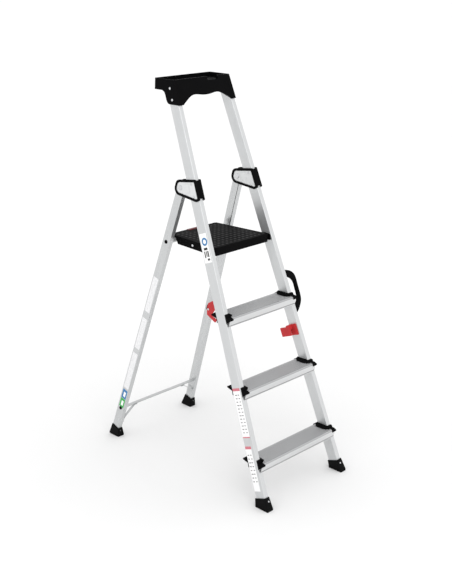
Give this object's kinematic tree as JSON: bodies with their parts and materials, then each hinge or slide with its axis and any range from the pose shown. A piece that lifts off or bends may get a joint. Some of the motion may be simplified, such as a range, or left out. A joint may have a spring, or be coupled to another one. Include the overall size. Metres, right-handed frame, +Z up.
{
  "type": "platform step ladder",
  "caption": "Folding aluminium step ladder with ribbed treads, a folding platform, a tool tray, a side carrying handle and a transport hook.",
  "frame": {"origin": "on the floor, at the middle of the open ladder's footprint", "axes": "+Z up; -Y is the climbing side, +Y the rear legs' side; +X is the climber's right"},
  "size_m": [0.4441, 0.863, 1.4135],
  "materials": {
    "aluminium_profile": "satin anodised extrusion",
    "aluminium_tread": "mill-finish extrusion, ribbed top",
    "aluminium_bar": "satin drawn tube and strip",
    "hinge_metal": "satin pressed plate",
    "fixings": "zinc plated",
    "black_plastic": "moulded, fine grain",
    "foot_rubber": "moulded, matt",
    "red_plastic": "moulded, semi-gloss",
    "lever_plastic": "moulded, semi-gloss"
  },
  "bodies": {
    "front_frame": {"carrying_handle": "black_plastic", "front_foot_left": "foot_rubber", "front_foot_right": "foot_rubber", "front_foot_rivets": "fixings", "front_stile_left": "aluminium_profile", "front_stile_right": "aluminium_profile", "handle_screws": "fixings", "hinge_bracket_left": "black_plastic", "hinge_bracket_right": "black_plastic", "hinge_pin_left": "fixings", "hinge_pin_right": "fixings", "hinge_plates_left": "hinge_metal", "hinge_plates_right": "hinge_metal", "hinge_rivets": "fixings", "platform_bracket_left": "black_plastic", "platform_bracket_right": "black_plastic", "platform_pin_left": "fixings", "platform_pin_right": "fixings", "top_tray": "black_plastic", "transport_catch": "red_plastic", "tray_rivets": "fixings", "tread_1": "aluminium_tread", "tread_1_cap_left": "black_plastic", "tread_1_cap_right": "black_plastic", "tread_2": "aluminium_tread", "tread_2_cap_left": "black_plastic", "tread_2_cap_right": "black_plastic", "tread_3": "aluminium_tread", "tread_3_cap_left": "black_plastic", "tread_3_cap_right": "black_plastic"},
    "rear_frame": {"hook_mount": "black_plastic", "hook_pin": "fixings", "leg_bush_left": "black_plastic", "leg_bush_right": "black_plastic", "rear_bolts": "black_plastic", "rear_brace_left": "aluminium_bar", "rear_brace_right": "aluminium_bar", "rear_cross_tube": "aluminium_bar", "rear_crossbar": "aluminium_bar", "rear_foot_left": "foot_rubber", "rear_foot_right": "foot_rubber", "rear_foot_rivets": "fixings", "rear_leg_left": "aluminium_profile", "rear_leg_right": "aluminium_profile"},
    "platform": {"lever_pin": "fixings", "platform_deck": "black_plastic", "platform_rivets": "fixings"},
    "release_lever": {"release_lever": "lever_plastic"},
    "transport_hook": {"transport_hook": "red_plastic"}
  },
  "joints": [
    {"name": "rear_fold", "type": "hinge", "parent": "front_frame", "child": "rear_frame", "pos_m": [0, 0.05795, 1.05311], "axis": [-1, 0, 0], "range_deg": [0, 38.5]},
    {"name": "platform_fold", "type": "hinge", "parent": "front_frame", "child": "platform", "pos_m": [0, -0.08185, 0.846], "axis": [1, 0, 0], "range_deg": [0, 68]},
    {"name": "release_lever_tilt", "type": "hinge", "parent": "platform", "child": "release_lever", "pos_m": [0, 0.1465, 0.849], "axis": [1, 0, 0], "range_deg": [0, 18], "stiffness_Nm_per_rad": 0.15},
    {"name": "transport_hook_swing", "type": "hinge", "parent": "rear_frame", "child": "transport_hook", "pos_m": [0.15824, 0.23765, 0.4813], "axis": [0.9986, -0.017, 0.051], "range_deg": [-20, 12]}
  ],
  "couplings": [
    {"joint": "platform_fold", "follows": "rear_fold", "ratio": 1.7584}
  ]
}
